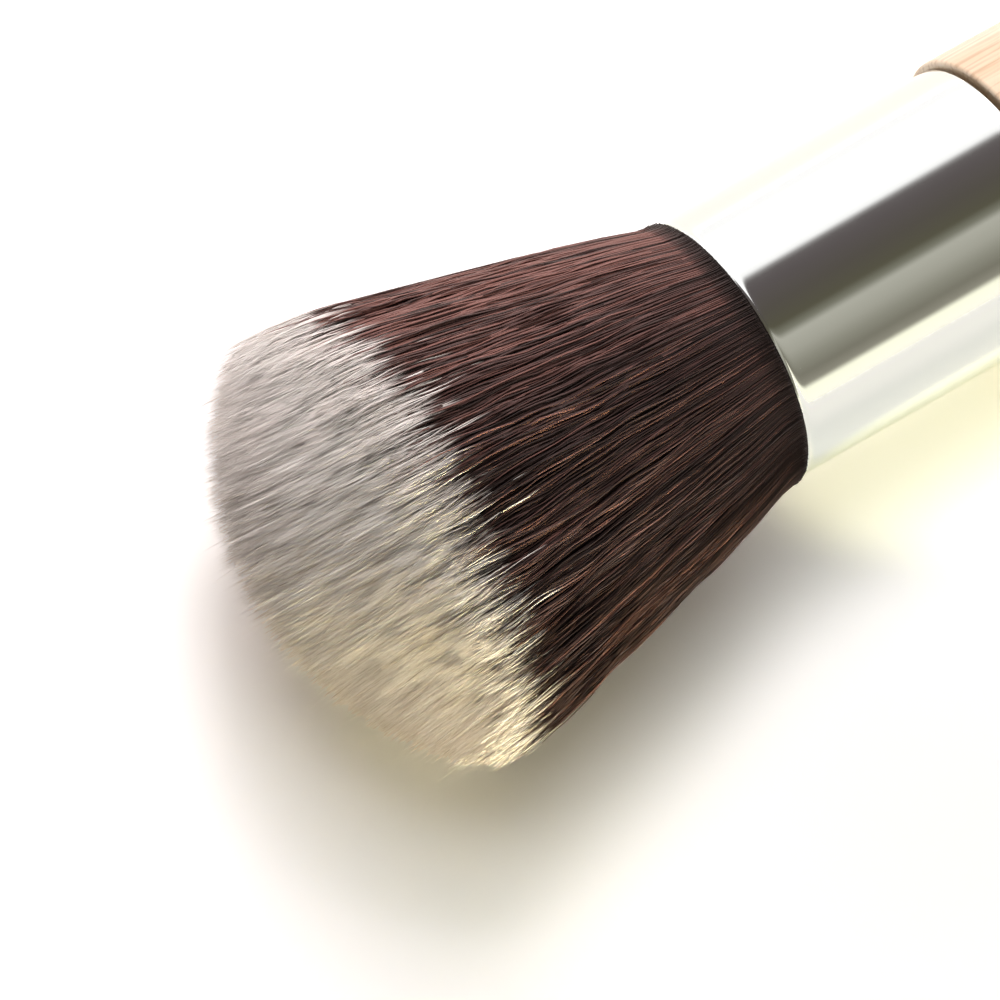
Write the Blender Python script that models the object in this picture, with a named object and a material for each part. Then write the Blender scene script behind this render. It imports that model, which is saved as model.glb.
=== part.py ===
"""Makeup brush: a dense domed head of two-tone bristles, a metal ferrule with a flared mouth and a short wooden handle.

The brush lies on a table as photographed, on the belly of its bristles and the end of its handle.
+X runs from the end of the handle to the bristle tips, +Z is up and the table is at height zero.
Each piece is made standing up, with the mouth of the ferrule at height zero and the bristles above it.
All the pieces are then laid down together.
"""

import math
import random

import bmesh
import bpy
from mathutils import Matrix, Vector
from mathutils.geometry import delaunay_2d_cdt

# Space left between two pieces that touch or are glued together in the real brush
SEAT_GAP = 0.0003

# Ferrule: a thin drawn tube that widens a little towards the handle
FERRULE_LENGTH = 0.0233
FERRULE_MOUTH_RADIUS = 0.0100
FERRULE_REAR_RADIUS = 0.0103
FERRULE_WALL = 0.0004
FERRULE_REAR_EDGE = 0.0001
# The wall turns out a little at the mouth and ends in a round rim
FERRULE_FLARE_DEPTH = 0.00014
FERRULE_FLARE_LENGTH = 0.0009
FLARE_STATIONS = 4
RIM_POINTS = 5

# Bristle head: measured from the mouth of the ferrule to the tips
HEAD_LENGTH = 0.0375
HEAD_BELLY_HEIGHT = 0.0285
HEAD_BELLY_RADIUS = 0.0171
HEAD_MOUTH_RADIUS = 0.0104
# How much faster than a straight cone the bristles spread, before the belly rounds them off
HEAD_SPREAD_SHARE = 0.05
# The dome is an ellipse whose shoulder falls away sooner; 2 would be the plain ellipse
HEAD_DOME_POWER = 1.3
# Height at which the fibres change from dark roots to pale tips
COLOUR_CHANGE_HEIGHT = 0.0249

# Strands stand in rings round one in the middle, six more in each ring
STRAND_RINGS = 10
STRANDS_ADDED_PER_RING = 6
STRAND_SIDES = 3
STRAND_ROOT_RADIUS = 0.00028
STRAND_LOW_RADIUS = 0.00034
STRAND_BELLY_RADIUS = 0.00055
STRAND_TIP_RADIUS = 0.00038
STRAND_MOUTH_HEIGHT = 0.0003
STRAND_LOW_HEIGHT = 0.0030
# Share of the space between strands by which each stands out of line
STRAND_STRAY_SHARE = 0.08
# Each ring inside the outermost is turned against the next, so that the strands don't line up in rows
RING_TURN = math.radians(137.5)
# Each tip stops short of the dome by up to this much
STRAND_TIP_STRAY = 0.0006
# The outer strands bend in by this share of their radius on the way to their tips
STRAND_BEND_SHARE = 0.05
STRAND_SEED = 7

# Where the head lies on the table its bristles give way: a flat, and how far up they are pressed
REST_FLAT_DEPTH = 0.0005
REST_PRESSED_HEIGHT = 0.0035

# Resin in which the roots of the bristles stand: the slice fused to them, and the plug below it
KNOT_RADIUS = 0.0093
KNOT_TOP_DEPTH = 0.0012
KNOT_SLICE_THICKNESS = 0.0010
KNOT_PLUG_LENGTH = 0.0068
KNOT_PLUG_EDGE = 0.0003
KNOT_RIM_SIDES = 36

# Handle: a tenon glued into the ferrule, a shoulder and a body that narrows in a slow curve
TENON_RADIUS = 0.0085
TENON_CHAMFER = 0.0004
HANDLE_LENGTH = 0.0480
HANDLE_JOINT_RADIUS = 0.01078
HANDLE_END_RADIUS = 0.0089
HANDLE_CURVE_POWER = 1.8
HANDLE_SHOULDER_EDGE = 0.0003
HANDLE_END_ROUND = 0.0018
HANDLE_STATIONS = 9
HANDLE_ROUND_POINTS = 5

# Glue between the tenon and the ferrule
GLUE_THICKNESS = 0.0003
GLUE_MARGIN = 0.0010

FERRULE_SIDES = 72
HANDLE_SIDES = 60
INNER_SIDES = 48
SMOOTH_UNDER_ANGLE = math.radians(32)
STEEPEST_LEAN = math.radians(20)
HALVINGS = 50
HEAD_OUTLINE_STEPS = 150


def material(name, colour, roughness, metallic=0):
    """One Principled BSDF material."""
    made = bpy.data.materials.new(name)
    made.use_nodes = True
    shader = made.node_tree.nodes["Principled BSDF"]
    shader.inputs["Base Color"].default_value = (*colour, 1)
    shader.inputs["Roughness"].default_value = roughness
    shader.inputs["Metallic"].default_value = metallic
    made.diffuse_color = (*colour, 1)
    return made


def finished(name, shape, materials):
    """Turn a bmesh into a named object with smooth round sides and crisp edges."""
    bmesh.ops.recalc_face_normals(shape, faces=shape.faces)
    mesh = bpy.data.meshes.new(name)
    shape.to_mesh(mesh)
    shape.free()
    for surface in materials:
        mesh.materials.append(surface)
    mesh.shade_smooth()
    mesh.set_sharp_from_angle(angle=SMOOTH_UNDER_ANGLE)
    piece = bpy.data.objects.new(name, mesh)
    bpy.context.scene.collection.objects.link(piece)
    return piece


def turned(name, outline, sides, surface, ring):
    """Spin an outline of (radius, height) once round the axis. A ring's outline is closed, others end on the axis."""
    shape = bmesh.new()
    points = [shape.verts.new((radius, 0, height)) for radius, height in outline]
    edges = [shape.edges.new(pair) for pair in zip(points, points[1:])]
    if ring:
        edges.append(shape.edges.new((points[-1], points[0])))
    # half a step round, so that a flat facet and not a corner faces the table
    start = Matrix.Rotation(math.pi / sides, 3, "Z")
    bmesh.ops.rotate(shape, verts=points, cent=(0, 0, 0), matrix=start)
    bmesh.ops.spin(
        shape, geom=points + edges, cent=(0, 0, 0), axis=(0, 0, 1), angle=math.tau, steps=sides, use_merge=True
    )
    bmesh.ops.remove_doubles(shape, verts=shape.verts, dist=SEAT_GAP / 1000)
    return finished(name, shape, [surface])


def spread_radius(height):
    """Radius to which the outer bristles would spread at this height if they ran on without bending."""
    share = height / HEAD_BELLY_HEIGHT
    return HEAD_MOUTH_RADIUS + (HEAD_BELLY_RADIUS - HEAD_MOUTH_RADIUS) * (1 + HEAD_SPREAD_SHARE) * share


def head_radius(height):
    """Radius of the whole head at this height: a flare up to the belly and a dome above it."""
    if height <= HEAD_BELLY_HEIGHT:
        share = max(height, 0) / HEAD_BELLY_HEIGHT
        rounding = HEAD_SPREAD_SHARE * share ** ((1 + HEAD_SPREAD_SHARE) / HEAD_SPREAD_SHARE)
        grown = (1 + HEAD_SPREAD_SHARE) * share - rounding
        return HEAD_MOUTH_RADIUS + (HEAD_BELLY_RADIUS - HEAD_MOUTH_RADIUS) * grown
    share = min((height - HEAD_BELLY_HEIGHT) / (HEAD_LENGTH - HEAD_BELLY_HEIGHT), 1)
    return HEAD_BELLY_RADIUS * math.sqrt(1 - share ** HEAD_DOME_POWER)


def halved(low, high, is_low):
    """The value between low and high where is_low turns from true to false."""
    for _ in range(HALVINGS):
        middle = (low + high) / 2
        if is_low(middle):
            low = middle
        else:
            high = middle
    return low


def flared_wall(inset):
    """Points of the flare at the mouth, from its foot to the rim, this far inside the outer face."""
    rim_round = FERRULE_WALL / 2
    points = []
    for step in range(FLARE_STATIONS + 1):
        share = step / FLARE_STATIONS
        points.append((
            FERRULE_MOUTH_RADIUS + FERRULE_FLARE_DEPTH * share ** 2 - inset,
            (FERRULE_FLARE_LENGTH - rim_round) * share - FERRULE_FLARE_LENGTH,
        ))
    return points


def ferrule_outline():
    """Closed outline of the tube: up the outside, over the rim of the mouth and down the inside."""
    inner_rear = FERRULE_REAR_RADIUS - FERRULE_WALL
    rim_round = FERRULE_WALL / 2
    rim = []
    for step in range(1, RIM_POINTS):
        angle = math.pi * step / RIM_POINTS
        rim.append((
            FERRULE_MOUTH_RADIUS + FERRULE_FLARE_DEPTH - rim_round + rim_round * math.cos(angle),
            rim_round * math.sin(angle) - rim_round,
        ))
    return [
        (inner_rear + FERRULE_REAR_EDGE, -FERRULE_LENGTH),
        (FERRULE_REAR_RADIUS - FERRULE_REAR_EDGE, -FERRULE_LENGTH),
        (FERRULE_REAR_RADIUS, FERRULE_REAR_EDGE - FERRULE_LENGTH),
        *flared_wall(0),
        *rim,
        *reversed(flared_wall(FERRULE_WALL)),
        (inner_rear, FERRULE_REAR_EDGE - FERRULE_LENGTH),
    ]


def handle_body():
    """Outline of the handle below its shoulder, down to the flat of its end."""
    top = -FERRULE_LENGTH - SEAT_GAP
    straight = HANDLE_LENGTH - HANDLE_SHOULDER_EDGE - HANDLE_END_ROUND
    outline = [(HANDLE_JOINT_RADIUS - HANDLE_SHOULDER_EDGE, top)]
    for step in range(HANDLE_STATIONS):
        share = step / (HANDLE_STATIONS - 1)
        narrowing = (HANDLE_JOINT_RADIUS - HANDLE_END_RADIUS) * share ** HANDLE_CURVE_POWER
        outline.append((HANDLE_JOINT_RADIUS - narrowing, top - HANDLE_SHOULDER_EDGE - straight * share))
    for step in range(1, HANDLE_ROUND_POINTS + 1):
        angle = math.pi / 2 * step / HANDLE_ROUND_POINTS
        outline.append((
            HANDLE_END_RADIUS - HANDLE_END_ROUND * (1 - math.cos(angle)),
            top - HANDLE_LENGTH + HANDLE_END_ROUND * (1 - math.sin(angle)),
        ))
    return outline


def handle_outline():
    """Half outline of the handle, from the middle of the tenon's end to the middle of the handle's end."""
    tenon_top = -KNOT_TOP_DEPTH - KNOT_SLICE_THICKNESS - KNOT_PLUG_LENGTH - SEAT_GAP - SEAT_GAP
    body = handle_body()
    return [
        (0, tenon_top),
        (TENON_RADIUS - TENON_CHAMFER, tenon_top),
        (TENON_RADIUS, tenon_top - TENON_CHAMFER),
        (TENON_RADIUS, body[0][1]),
        *body,
        (0, body[-1][1]),
    ]


def plug_outline():
    """Half outline of the resin plug below the slice that holds the roots."""
    top = -KNOT_TOP_DEPTH - KNOT_SLICE_THICKNESS - SEAT_GAP
    bottom = top - KNOT_PLUG_LENGTH
    return [
        (0, top),
        (KNOT_RADIUS - KNOT_PLUG_EDGE, top),
        (KNOT_RADIUS, top - KNOT_PLUG_EDGE),
        (KNOT_RADIUS, bottom + KNOT_PLUG_EDGE),
        (KNOT_RADIUS - KNOT_PLUG_EDGE, bottom),
        (0, bottom),
    ]


def glue_outline():
    """Closed outline of the sleeve of glue round the tenon, a little shorter than the tenon."""
    inside = TENON_RADIUS + SEAT_GAP
    outside = inside + GLUE_THICKNESS
    tenon_top = handle_outline()[0][1]
    top = tenon_top - GLUE_MARGIN
    bottom = GLUE_MARGIN - FERRULE_LENGTH
    return [(inside, bottom), (outside, bottom), (outside, top), (inside, top)]


def strand_places():
    """(share of the head's radius, angle, index of the ring) of every strand."""
    strays = random.Random(STRAND_SEED)
    places = [(0, 0, 0)]
    for ring in range(1, STRAND_RINGS + 1):
        count = STRANDS_ADDED_PER_RING * ring
        for step in range(count):
            # half a step out, so that two strands share the lowest line of the head
            angle = math.tau * (step + 1 / 2) / count
            share = ring / STRAND_RINGS
            if ring < STRAND_RINGS:
                angle += RING_TURN * ring
                angle += math.tau / count * STRAND_STRAY_SHARE * strays.uniform(-1, 1)
                share += STRAND_STRAY_SHARE / STRAND_RINGS * strays.uniform(-1, 1)
            places.append((share, angle, ring))
    return places


def strand_stations(share, ring, shortfall):
    """(distance from the axis, height, radius of the strand) from the root of one strand to its tip."""
    outer = ring == STRAND_RINGS
    root = KNOT_RADIUS - SEAT_GAP - STRAND_ROOT_RADIUS
    low = head_radius(STRAND_LOW_HEIGHT) - STRAND_LOW_RADIUS
    change = head_radius(COLOUR_CHANGE_HEIGHT) - STRAND_BELLY_RADIUS
    stations = [(share * root, -KNOT_TOP_DEPTH, STRAND_ROOT_RADIUS)]
    if outer:
        stations.append((share * root, STRAND_MOUTH_HEIGHT, STRAND_ROOT_RADIUS))
    stations.append((share * low, STRAND_LOW_HEIGHT, STRAND_LOW_RADIUS))
    stations.append((share * change, COLOUR_CHANGE_HEIGHT, STRAND_BELLY_RADIUS))
    if outer:
        stations.append((HEAD_BELLY_RADIUS - STRAND_BELLY_RADIUS, HEAD_BELLY_HEIGHT, STRAND_BELLY_RADIUS))
    bent = share * (1 - STRAND_BEND_SHARE * share ** 2)
    height = halved(
        COLOUR_CHANGE_HEIGHT,
        HEAD_LENGTH,
        lambda level: bent * spread_radius(level) + STRAND_TIP_RADIUS < head_radius(level),
    )
    height -= shortfall
    stations.append((bent * spread_radius(height) - STRAND_TIP_RADIUS, height, STRAND_TIP_RADIUS))
    return stations


def strand_ring(distance, height, radius, angle):
    """Corners of one cross-section of a strand, the first of them facing out from the axis."""
    centre = Vector((distance * math.cos(angle), distance * math.sin(angle), height))
    corners = []
    for side in range(STRAND_SIDES):
        turn = angle + math.tau * side / STRAND_SIDES
        corners.append(centre + Vector((radius * math.cos(turn), radius * math.sin(turn), 0)))
    return corners


def bristle_head(dark, pale, lean, axis_height):
    """Slice of resin with every strand grown out of its top face, pressed flat where it lies on the table."""
    shape = bmesh.new()
    strays = random.Random(STRAND_SEED + 1)
    strands = []
    for share, angle, ring in strand_places():
        stations = strand_stations(share, ring, strays.uniform(0, STRAND_TIP_STRAY))
        strands.append([strand_ring(*station, angle) for station in stations])
    top = -KNOT_TOP_DEPTH
    flat = []
    for corner in range(KNOT_RIM_SIDES):
        angle = math.tau * corner / KNOT_RIM_SIDES
        flat.append(Vector((KNOT_RADIUS * math.cos(angle), KNOT_RADIUS * math.sin(angle))))
    footprints = [list(range(KNOT_RIM_SIDES))]
    for strand in strands:
        footprints.append(list(range(len(flat), len(flat) + STRAND_SIDES)))
        flat.extend(corner.to_2d() for corner in strand[0])
    # the top of the slice is cut into triangles that leave each strand's foot as a face of its own
    spots, _, cells, came_from, _, inside = delaunay_2d_cdt(flat, [], footprints, 1, SEAT_GAP / 10000)
    floor = [shape.verts.new((spot.x, spot.y, top)) for spot in spots]
    feet = {}
    for vertex, sources in zip(floor, came_from):
        for source in sources:
            feet[source] = vertex
    for cell, owners in zip(cells, inside):
        if max(owners) == 0:
            shape.faces.new([floor[corner] for corner in cell])
    for footprint, strand in zip(footprints[1:], strands):
        below = [feet[corner] for corner in footprint]
        for corners in strand[1:]:
            above = [shape.verts.new(corner) for corner in corners]
            is_tip = corners[0].z > COLOUR_CHANGE_HEIGHT
            for side in range(STRAND_SIDES):
                following = (side + 1) % STRAND_SIDES
                face = shape.faces.new((below[side], below[following], above[following], above[side]))
                face.material_index = int(is_tip)
            below = above
        face = shape.faces.new(below)
        face.material_index = 1
    rim = [feet[corner] for corner in footprints[0]]
    under = [shape.verts.new(corner.co - Vector((0, 0, KNOT_SLICE_THICKNESS))) for corner in rim]
    for corner in range(KNOT_RIM_SIDES):
        following = (corner + 1) % KNOT_RIM_SIDES
        shape.faces.new((rim[corner], under[corner], under[following], rim[following]))
    shape.faces.new(under)
    press_flat(shape, lean, axis_height)
    return finished("bristle_head", shape, [dark, pale])


def press_flat(shape, lean, axis_height):
    """Squeeze the lowest bristles upwards, so that the head lies on a flat. The table is on the +X side here."""
    for vertex in shape.verts:
        if vertex.co.z <= 0:
            continue
        table = (axis_height + vertex.co.z * math.sin(lean)) / math.cos(lean)
        radius = head_radius(vertex.co.z)
        if abs(vertex.co.y) >= radius:
            continue
        lowest = math.sqrt(radius ** 2 - vertex.co.y ** 2)
        held = table - REST_PRESSED_HEIGHT
        if lowest > table and vertex.co.x > held:
            share = (vertex.co.x - held) / (lowest - held)
            vertex.co.x = held + REST_PRESSED_HEIGHT * min(share, 1)


def head_outline():
    """Outline of the whole head above the mouth, for finding where it meets the table."""
    outline = []
    for step in range(HEAD_OUTLINE_STEPS + 1):
        height = HEAD_LENGTH * step / HEAD_OUTLINE_STEPS
        outline.append((head_radius(height), height))
    return outline


def reach_down(outline, lean):
    """How far a turned outline reaches below the axis at the mouth, once the axis rises by lean to the tips."""
    return max(radius * math.cos(lean) - height * math.sin(lean) for radius, height in outline)


def resting_lean():
    """Slope of the axis when the flat of the head and the end of the handle both lie on the table."""
    head = head_outline()
    body = handle_body()
    return halved(
        0, STEEPEST_LEAN, lambda lean: reach_down(body, lean) < reach_down(head, lean) - REST_FLAT_DEPTH
    )


def print_gaps(pieces):
    """Print the sizes that the strands leave free, for whoever changes the numbers above."""
    spacing = (HEAD_BELLY_RADIUS - STRAND_BELLY_RADIUS) / STRAND_RINGS
    root_spacing = (KNOT_RADIUS - SEAT_GAP - STRAND_ROOT_RADIUS) / STRAND_RINGS
    stray = 1 - 2 * STRAND_STRAY_SHARE
    widths = (STRAND_ROOT_RADIUS + STRAND_ROOT_RADIUS, STRAND_BELLY_RADIUS + STRAND_BELLY_RADIUS)
    print("least gap between roots", root_spacing * stray - widths[0])
    print("least gap between strands at the belly", spacing * stray - widths[1])
    for piece in pieces:
        piece.data.calc_loop_triangles()
        print(piece.name, len(piece.data.loop_triangles), "triangles")


def main():
    for leftover in list(bpy.data.objects):
        bpy.data.objects.remove(leftover, do_unlink=True)
    polished = material("polished_aluminium", (0.80, 0.80, 0.79), 0.12, 1)
    bamboo = material("bamboo", (0.82, 0.62, 0.40), 0.45)
    dark_fibre = material("dark_fibre", (0.045, 0.028, 0.024), 0.42)
    pale_fibre = material("pale_fibre", (0.86, 0.79, 0.71), 0.55)
    resin = material("knot_resin", (0.45, 0.33, 0.16), 0.30)
    glue = material("tenon_glue", (0.80, 0.76, 0.62), 0.40)

    lean = resting_lean()
    axis_height = reach_down(handle_body(), lean)
    pieces = [
        bristle_head(dark_fibre, pale_fibre, lean, axis_height),
        turned("knot_plug", plug_outline(), INNER_SIDES, resin, False),
        turned("ferrule", ferrule_outline(), FERRULE_SIDES, polished, True),
        turned("tenon_glue", glue_outline(), INNER_SIDES, glue, True),
        turned("handle", handle_outline(), HANDLE_SIDES, bamboo, False),
    ]

    # lay the brush down, with its +X side underneath, and centre it over the origin
    laid = Matrix.Rotation(math.pi / 2 - lean, 4, "Y")
    for piece in pieces:
        piece.data.transform(laid)
    corners = [vertex.co for piece in pieces for vertex in piece.data.vertices]
    low = Vector((min(c.x for c in corners), min(c.y for c in corners), min(c.z for c in corners)))
    high = Vector((max(c.x for c in corners), max(c.y for c in corners), max(c.z for c in corners)))
    centre = (low + high) / 2
    placed = Matrix.Translation((-centre.x, -centre.y, -low.z))
    for piece in pieces:
        piece.data.transform(placed)
    end = placed @ laid @ Vector((0, 0, handle_body()[-1][1]))
    print("lean in degrees", math.degrees(lean), "size", *(high - low))
    print("middle of the mouth of the ferrule", *placed.translation)
    print("middle of the end of the handle", *end)
    print_gaps(pieces)


main()
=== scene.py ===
import math

import bpy
import numpy as np
from mathutils import Matrix, Vector
from mathutils.kdtree import KDTree


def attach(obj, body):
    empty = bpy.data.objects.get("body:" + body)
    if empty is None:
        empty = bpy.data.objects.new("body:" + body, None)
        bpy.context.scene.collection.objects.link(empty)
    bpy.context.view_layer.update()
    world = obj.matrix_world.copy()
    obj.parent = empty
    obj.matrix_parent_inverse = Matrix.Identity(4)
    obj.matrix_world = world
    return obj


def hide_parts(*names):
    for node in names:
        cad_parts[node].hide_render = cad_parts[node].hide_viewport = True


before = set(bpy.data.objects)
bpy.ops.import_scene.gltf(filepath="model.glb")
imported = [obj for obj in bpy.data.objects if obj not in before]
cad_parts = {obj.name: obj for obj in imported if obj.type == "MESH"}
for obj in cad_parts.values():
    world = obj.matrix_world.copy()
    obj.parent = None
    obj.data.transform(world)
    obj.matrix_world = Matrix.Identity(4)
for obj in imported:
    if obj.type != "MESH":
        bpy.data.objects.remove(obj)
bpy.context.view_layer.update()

# Sizes in metres, in the frame of the brush standing up: the ferrule's mouth at height 0, bristles above
MM = 0.001
LEAN = math.radians(4.489524)          # slope of the brush's axis above the table
MOUTH = Vector((0.017292077, 0, 0.014336420))      # so that belly and handle's end rest on the table
SEAT_GAP = 0.3 * MM                    # left between two pieces that touch or are glued

# Ferrule: a drawn tube with a small flare and a round rim at its mouth
FERRULE_LENGTH = 23.3 * MM
FERRULE_MOUTH_RADIUS = 10.0 * MM
FERRULE_REAR_RADIUS = 10.3 * MM
FERRULE_WALL = 0.4 * MM
FERRULE_REAR_EDGE = 0.12 * MM
FLARE_LENGTH = 0.9 * MM
FLARE_DEPTH = 0.14 * MM

# Resin that holds the bristles' roots
KNOT_RADIUS = 9.3 * MM
SLICE_TOP = -1.2 * MM
SLICE_END = -2.2 * MM
PLUG_TOP = SLICE_END - SEAT_GAP
PLUG_END = -9.3 * MM

# Handle: a tenon inside the ferrule, a shoulder and a body that narrows to a rounded end
TENON_RADIUS = 8.5 * MM
TENON_TOP = -9.9 * MM
TENON_CHAMFER = 0.4 * MM
HANDLE_LENGTH = 48.0 * MM
HANDLE_JOINT_RADIUS = 10.78 * MM
HANDLE_END_RADIUS = 8.9 * MM
HANDLE_CURVE_POWER = 1.8
SHOULDER_EDGE = 0.3 * MM
HANDLE_END_ROUND = 1.8 * MM
HANDLE_END_TURN = -6                   # degrees at which the rounding takes over from the taper

# Glue between the tenon and the ferrule
GLUE_THICKNESS = 0.3 * MM
GLUE_INNER_RADIUS = TENON_RADIUS + SEAT_GAP
GLUE_OUTER_RADIUS = GLUE_INNER_RADIUS + GLUE_THICKNESS
GLUE_TOP = -10.6 * MM
GLUE_END = 1.0 * MM - FERRULE_LENGTH

# Head: a waist over the ferrule's lip, a cone that opens to the belly, and a dome
HEAD_LENGTH = 37.5 * MM
BELLY_HEIGHT = 28.5 * MM
BELLY_RADIUS = 17.05 * MM
MOUTH_RADIUS = 10.38 * MM
WAIST_HEIGHT = 1.3 * MM
WAIST_DEPTH = 0.28 * MM
CONE_SHARE = 1.04                      # the cone opens a little wider than the belly
DOME_POWER = 1.3
DOME_TILT = 0.062                      # the dome in the photograph reaches further on the far side
BEND_HEIGHT = 22.6 * MM                # outer fibres start to bend inward here
BEND_LENGTH = 14 * MM
BEND_SHARE = 0.17
COLOUR_CHANGE = 25.2 * MM
CHANGE_TILT = 1.9 * MM                 # the pale part begins nearer the tips on the near side

# Lays the brush's own axis along +X, rising by LEAN, with the standing brush's +X side underneath
LAID = Matrix.Translation(MOUTH) @ Matrix.Rotation(math.pi / 2 - LEAN, 4, "Y")

# Numbers of faces round the turned pieces and along their curves
FERRULE_SIDES = 192
HANDLE_SIDES = 160
INNER_SIDES = 96
WALL_STEPS = 16
FLARE_STEPS = 8
HANDLE_STEPS = 30
EDGE_STEPS = 5
RIM_STEPS = 14
END_STEPS = 12
CRISP_ANGLE = math.radians(35)         # edges between faces that turn by more than this look sharp


def add_object(name, data):
    made = bpy.data.objects.new(name, data)
    bpy.context.scene.collection.objects.link(made)
    return made


# Materials
# (place along the ramp, colour) from the darkest fibre to the lightest
PALE_TONES = [
    (0, (0.54, 0.46, 0.40)), (0.22, (0.83, 0.76, 0.70)), (0.42, (0.955, 0.905, 0.86)),
    (1, (0.99, 0.965, 0.935)),
]
DARK_TONES = [
    (0, (0.012, 0.0075, 0.0072)), (0.4, (0.033, 0.0195, 0.0175)), (0.75, (0.096, 0.048, 0.043)),
    (1, (0.25, 0.118, 0.100)),
]
DARK_TO_PALE = [(0.485, (0, 0, 0)), (0.515, (1, 1, 1))]
GLOSS_TINT = (1.0, 0.80, 0.77)
BAMBOO_TONES = [(0.34, (0.78, 0.56, 0.36)), (0.66, (0.92, 0.76, 0.57))]
STREAK_TONES = [(0.36, (0.50, 0.27, 0.11)), (0.50, (1, 1, 1))]
STREAK_SHARE = 0.34
GRAIN_STRETCH = (1, 1, 0.045)          # the grain runs along the handle
BROAD_GRAIN = 420
FINE_GRAIN = 2600
METAL_TONE = (0.80, 0.80, 0.785)
METAL_MOTTLE = 420
METAL_ROUGHNESS = (0.075, 0.105)


def new_material(name):
    made = bpy.data.materials.new(name)
    made.use_nodes = True
    nodes = made.node_tree.nodes
    return made, nodes, made.node_tree.links, nodes["Principled BSDF"]


def feed(links, socket, value):
    """Links another node's output to this socket, or sets a colour or a number on it."""
    if isinstance(value, bpy.types.NodeSocket):
        links.new(value, socket)
    elif isinstance(value, tuple):
        socket.default_value = (*value, 1)
    else:
        socket.default_value = value


def set_finish(links, shader, values):
    for name, value in values.items():
        feed(links, shader.inputs[name], value)


def ramp(nodes, links, place, stops):
    made = nodes.new("ShaderNodeValToRGB")
    for index, (position, colour) in enumerate(stops):
        if index < 2:
            stop = made.color_ramp.elements[index]
            stop.position = position
        else:
            stop = made.color_ramp.elements.new(position)
        stop.color = (*colour, 1)
    links.new(place, made.inputs[0])
    return made.outputs[0]


def calculate(nodes, links, operation, first, second):
    made = nodes.new("ShaderNodeMath")
    made.operation = operation
    feed(links, made.inputs[0], first)
    feed(links, made.inputs[1], second)
    return made.outputs[0]


def mixed(nodes, links, share, first, second, way="MIX"):
    """Mixes two colours. Blender's Mix node takes them in its inputs 6 and 7 and gives its output 2."""
    made = nodes.new("ShaderNodeMix")
    made.data_type = "RGBA"
    made.blend_type = way
    for number, value in ((0, share), (6, first), (7, second)):
        feed(links, made.inputs[number], value)
    return made.outputs[2]


def noise(nodes, links, place, scale, detail):
    made = nodes.new("ShaderNodeTexNoise")
    made.inputs["Scale"].default_value = scale
    made.inputs["Detail"].default_value = detail
    links.new(place, made.inputs["Vector"])
    return made.outputs["Fac"]


def map_parts(nodes, links, name):
    """The two values of a UV map."""
    place = nodes.new("ShaderNodeUVMap")
    place.uv_map = name
    parts = nodes.new("ShaderNodeSeparateXYZ")
    links.new(place.outputs["UV"], parts.inputs[0])
    return parts.outputs[0], parts.outputs[1]


def own_place(nodes):
    return nodes.new("ShaderNodeTexCoord").outputs["Object"]


def fibre_material():
    """Fibres that turn from dark roots to pale tips, by their Strand map of (shade, level)."""
    made, nodes, links, shader = new_material("bristle_fibre")
    shade, level = map_parts(nodes, links, "Strand")
    pale = ramp(nodes, links, shade, PALE_TONES)
    dark = ramp(nodes, links, shade, DARK_TONES)
    change = ramp(nodes, links, level, DARK_TO_PALE)
    set_finish(links, shader, {
        "Base Color": mixed(nodes, links, change, dark, pale),
        "Specular Tint": GLOSS_TINT,
        "Roughness": 0.42,
        "Specular IOR Level": 0.6,
    })
    return made


def metal_material():
    """Polished metal with a slightly uneven polish."""
    made, nodes, links, shader = new_material("ferrule_polish")
    mottle = noise(nodes, links, own_place(nodes), METAL_MOTTLE, 3)
    rough = nodes.new("ShaderNodeMapRange")
    rough.inputs["From Min"].default_value = 0.3
    rough.inputs["From Max"].default_value = 0.7
    rough.inputs["To Min"].default_value = METAL_ROUGHNESS[0]
    rough.inputs["To Max"].default_value = METAL_ROUGHNESS[1]
    links.new(mottle, rough.inputs["Value"])
    set_finish(links, shader, {"Base Color": METAL_TONE, "Roughness": rough.outputs[0], "Metallic": 1})
    return made


def bamboo_material():
    """Broad pale grain with fine brown streaks in it, under a clear coat."""
    made, nodes, links, shader = new_material("handle_bamboo")
    stretch = nodes.new("ShaderNodeMapping")
    stretch.inputs["Scale"].default_value = GRAIN_STRETCH
    links.new(own_place(nodes), stretch.inputs["Vector"])
    fine = noise(nodes, links, stretch.outputs[0], FINE_GRAIN, 4)
    broad = noise(nodes, links, stretch.outputs[0], BROAD_GRAIN, 3)
    body = ramp(nodes, links, broad, BAMBOO_TONES)
    streak = ramp(nodes, links, fine, STREAK_TONES)
    set_finish(links, shader, {
        "Base Color": mixed(nodes, links, STREAK_SHARE, body, streak, "MULTIPLY"),
        "Roughness": 0.4,
        "Coat Weight": 0.5,
        "Coat Roughness": 0.12,
    })
    return made


def speckled_material(name, dark, light, roughness, scale):
    made, nodes, links, shader = new_material(name)
    speckle = noise(nodes, links, own_place(nodes), scale, 2)
    colour = ramp(nodes, links, speckle, [(0.35, dark), (0.65, light)])
    set_finish(links, shader, {"Base Color": colour, "Roughness": roughness})
    return made


# Pieces turned about the brush's axis
def turned(name, outline, sides, material, ring=False):
    """An outline of (radius, height) turned about the axis. A ring's outline is closed."""
    rows = len(outline)
    places, faces = [], []
    for step in range(sides):
        angle = math.tau * step / sides
        for radius, height in outline:
            places.append((radius * math.cos(angle), radius * math.sin(angle), height))
    for step in range(sides):
        here, there = step * rows, (step + 1) % sides * rows
        for row in range(rows if ring else rows - 1):
            following = (row + 1) % rows
            faces.append((here + row, there + row, there + following, here + following))
    mesh = bpy.data.meshes.new(name)
    mesh.from_pydata(places, [], faces)
    mesh.validate()
    mesh.materials.append(material)
    mesh.shade_smooth()
    mesh.set_sharp_from_angle(angle=CRISP_ANGLE)
    piece = add_object(name, mesh)
    piece.matrix_world = LAID
    return piece


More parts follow.
